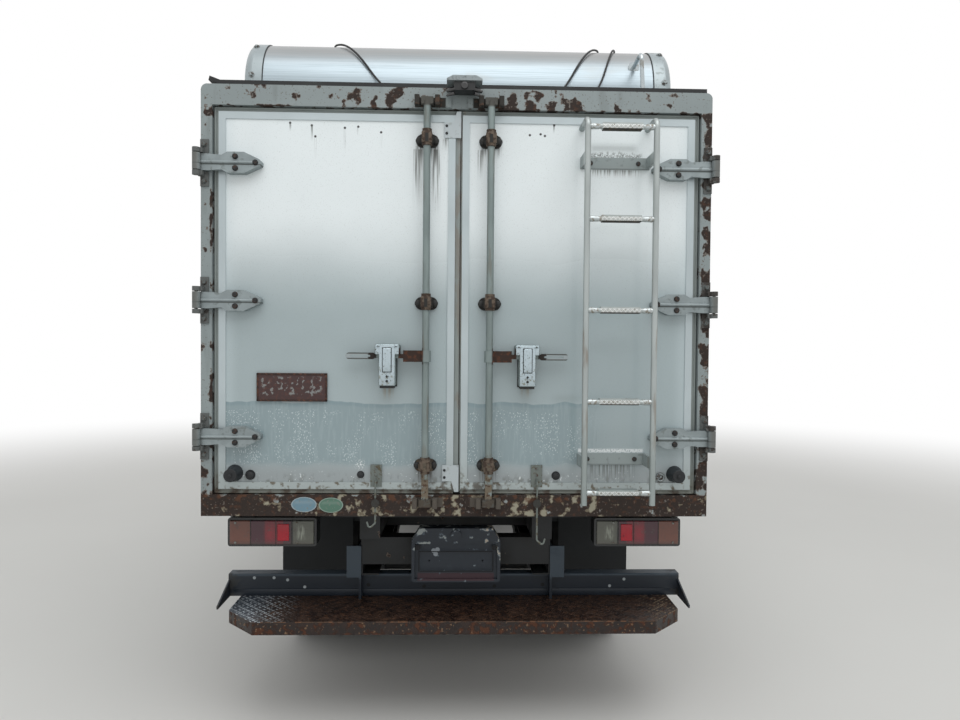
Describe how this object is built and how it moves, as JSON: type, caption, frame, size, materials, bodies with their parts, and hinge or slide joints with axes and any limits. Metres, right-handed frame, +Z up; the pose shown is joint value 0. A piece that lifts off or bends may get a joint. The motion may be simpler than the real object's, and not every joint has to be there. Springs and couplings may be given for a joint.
{
  "type": "refrigerated truck",
  "caption": "Small cab-over refrigerated truck: insulated box with barn doors, lock rods and a ladder, roof cooling unit, tilt cab, steered front and twin rear wheels.",
  "frame": {"origin": "on the ground, under the middle of the truck's length and width", "axes": "+Y forward along the truck, +X to its right, +Z up"},
  "size_m": [2.16, 4.83, 2.7209],
  "materials": {
    "portal_paint": "worn grey-blue gloss paint with rust",
    "white_laminate": "glossy white glass-fibre skin, grimy low down",
    "aluminium_edging": "mill-finish extrusion with a dark rubber seal",
    "polished_aluminium": "polished sheet",
    "black_plastic": "weathered matt black",
    "hinge_grey": "dull grey paint, chalky",
    "galvanised_gear": "dull galvanised with rusty clamps",
    "bright_steel": "bright plated tube",
    "maroon_plate": "rusty maroon, peeled pale patches",
    "lamp_lens": "red, amber and clear lens in a black bezel",
    "navy_paint": "faded navy paint, chipped",
    "rusty_tread_plate": "tread plate, heavy rust",
    "rubber_flap": "dusty",
    "frame_black": "chassis black, dusty",
    "cast_iron": "raw, oily",
    "tank_paint": "black enamel",
    "exhaust_steel": "heat-browned",
    "cab_white": "gloss white enamel",
    "bumper_grey": "light grey enamel",
    "window_glass": "clear, faint green",
    "lamp_and_grille": "dark grille, clear lamps",
    "cab_trim": "grained grey",
    "tyre_rubber": "dusty black",
    "wheel_paint": "silver enamel, dusty"
  },
  "bodies": {
    "chassis": {"rear_portal": "portal_paint", "roof_lip": "black_plastic", "rear_camera": "black_plastic", "box_floor": "aluminium_edging", "box_side_walls": "white_laminate", "box_front_wall": "white_laminate", "box_roof": "white_laminate", "box_rails": "aluminium_edging", "unit_cowl": "polished_aluminium", "unit_end_caps": "polished_aluminium", "unit_fans_and_grille": "black_plastic", "roof_strut": "bright_steel", "roof_cables": "black_plastic", "tail_lamps": "lamp_lens", "plate_holder": "navy_paint", "rear_bumper": "navy_paint", "tread_step": "rusty_tread_plate", "mud_flaps": "rubber_flap", "chassis_frame": "frame_black", "box_subframe": "frame_black", "front_axle": "frame_black", "rear_axle": "cast_iron", "powertrain": "cast_iron", "fuel_tank": "tank_paint", "battery_box": "black_plastic", "exhaust": "exhaust_steel", "front_bumper": "bumper_grey"},
    "cab": {"cab_floor": "cab_trim", "cab_front_panel": "cab_white", "cab_side_frames": "cab_white", "cab_roof": "cab_white", "cab_back_panel": "cab_white", "cab_windows": "window_glass", "cab_grille_and_headlamps": "lamp_and_grille", "cab_interior": "cab_trim", "mirrors": "black_plastic"},
    "left_rear_door": {"left_rear_door_panel": "white_laminate", "left_rear_door_edging": "aluminium_edging", "left_rear_door_hinges": "hinge_grey", "left_rear_door_gear": "galvanised_gear", "left_rear_door_plates": "maroon_plate"},
    "left_cab_door": {"left_cab_door_panel": "cab_white", "left_cab_door_glass": "window_glass"},
    "left_knuckle": {"left_front_knuckle": "cast_iron"},
    "left_front_wheel": {"left_front_tyre": "tyre_rubber", "left_front_rim": "wheel_paint"},
    "left_rear_wheels": {"left_rear_tyres": "tyre_rubber", "left_rear_rims": "wheel_paint"},
    "right_rear_door": {"right_rear_door_panel": "white_laminate", "right_rear_door_edging": "aluminium_edging", "right_rear_door_hinges": "hinge_grey", "right_rear_door_gear": "galvanised_gear", "ladder": "galvanised_gear"},
    "right_cab_door": {"right_cab_door_panel": "cab_white", "right_cab_door_glass": "window_glass"},
    "right_knuckle": {"right_front_knuckle": "cast_iron"},
    "right_front_wheel": {"right_front_tyre": "tyre_rubber", "right_front_rim": "wheel_paint"},
    "right_rear_wheels": {"right_rear_tyres": "tyre_rubber", "right_rear_rims": "wheel_paint"}
  },
  "joints": [
    {"name": "right_rear_door_hinge", "type": "hinge", "parent": "chassis", "child": "right_rear_door", "pos_m": [0.946, -2.32, 1.633], "axis": [0, 0, 1], "range_deg": [0, 245]},
    {"name": "left_rear_door_hinge", "type": "hinge", "parent": "chassis", "child": "left_rear_door", "pos_m": [-0.946, -2.32, 1.633], "axis": [0, 0, -1], "range_deg": [0, 250]},
    {"name": "cab_tilt", "type": "hinge", "parent": "chassis", "child": "cab", "pos_m": [0, 2.3, 0.65], "axis": [-1, 0, 0], "range_deg": [0, 45]},
    {"name": "right_cab_door_hinge", "type": "hinge", "parent": "cab", "child": "right_cab_door", "pos_m": [0.8535, 2.196, 0.965], "axis": [0, 0, 1], "range_deg": [0, 70]},
    {"name": "left_cab_door_hinge", "type": "hinge", "parent": "cab", "child": "left_cab_door", "pos_m": [-0.8535, 2.196, 0.965], "axis": [0, 0, -1], "range_deg": [0, 70]},
    {"name": "right_steering", "type": "hinge", "parent": "chassis", "child": "right_knuckle", "pos_m": [0.6, 1.315, 0.35], "axis": [0, 0, 1], "range_deg": [-35, 35]},
    {"name": "left_steering", "type": "hinge", "parent": "chassis", "child": "left_knuckle", "pos_m": [-0.6, 1.315, 0.35], "axis": [0, 0, 1], "range_deg": [-35, 35]},
    {"name": "right_front_wheel_spin", "type": "hinge", "parent": "right_knuckle", "child": "right_front_wheel", "pos_m": [0.7, 1.315, 0.35], "axis": [1, 0, 0], "continuous": true},
    {"name": "right_rear_wheel_spin", "type": "hinge", "parent": "chassis", "child": "right_rear_wheels", "pos_m": [0.6325, -1.16, 0.35], "axis": [1, 0, 0], "continuous": true},
    {"name": "left_front_wheel_spin", "type": "hinge", "parent": "left_knuckle", "child": "left_front_wheel", "pos_m": [-0.7, 1.315, 0.35], "axis": [1, 0, 0], "continuous": true},
    {"name": "left_rear_wheel_spin", "type": "hinge", "parent": "chassis", "child": "left_rear_wheels", "pos_m": [-0.6325, -1.16, 0.35], "axis": [1, 0, 0], "continuous": true}
  ],
  "couplings": [
    {"joint": "left_steering", "follows": "right_steering", "ratio": 1}
  ]
}
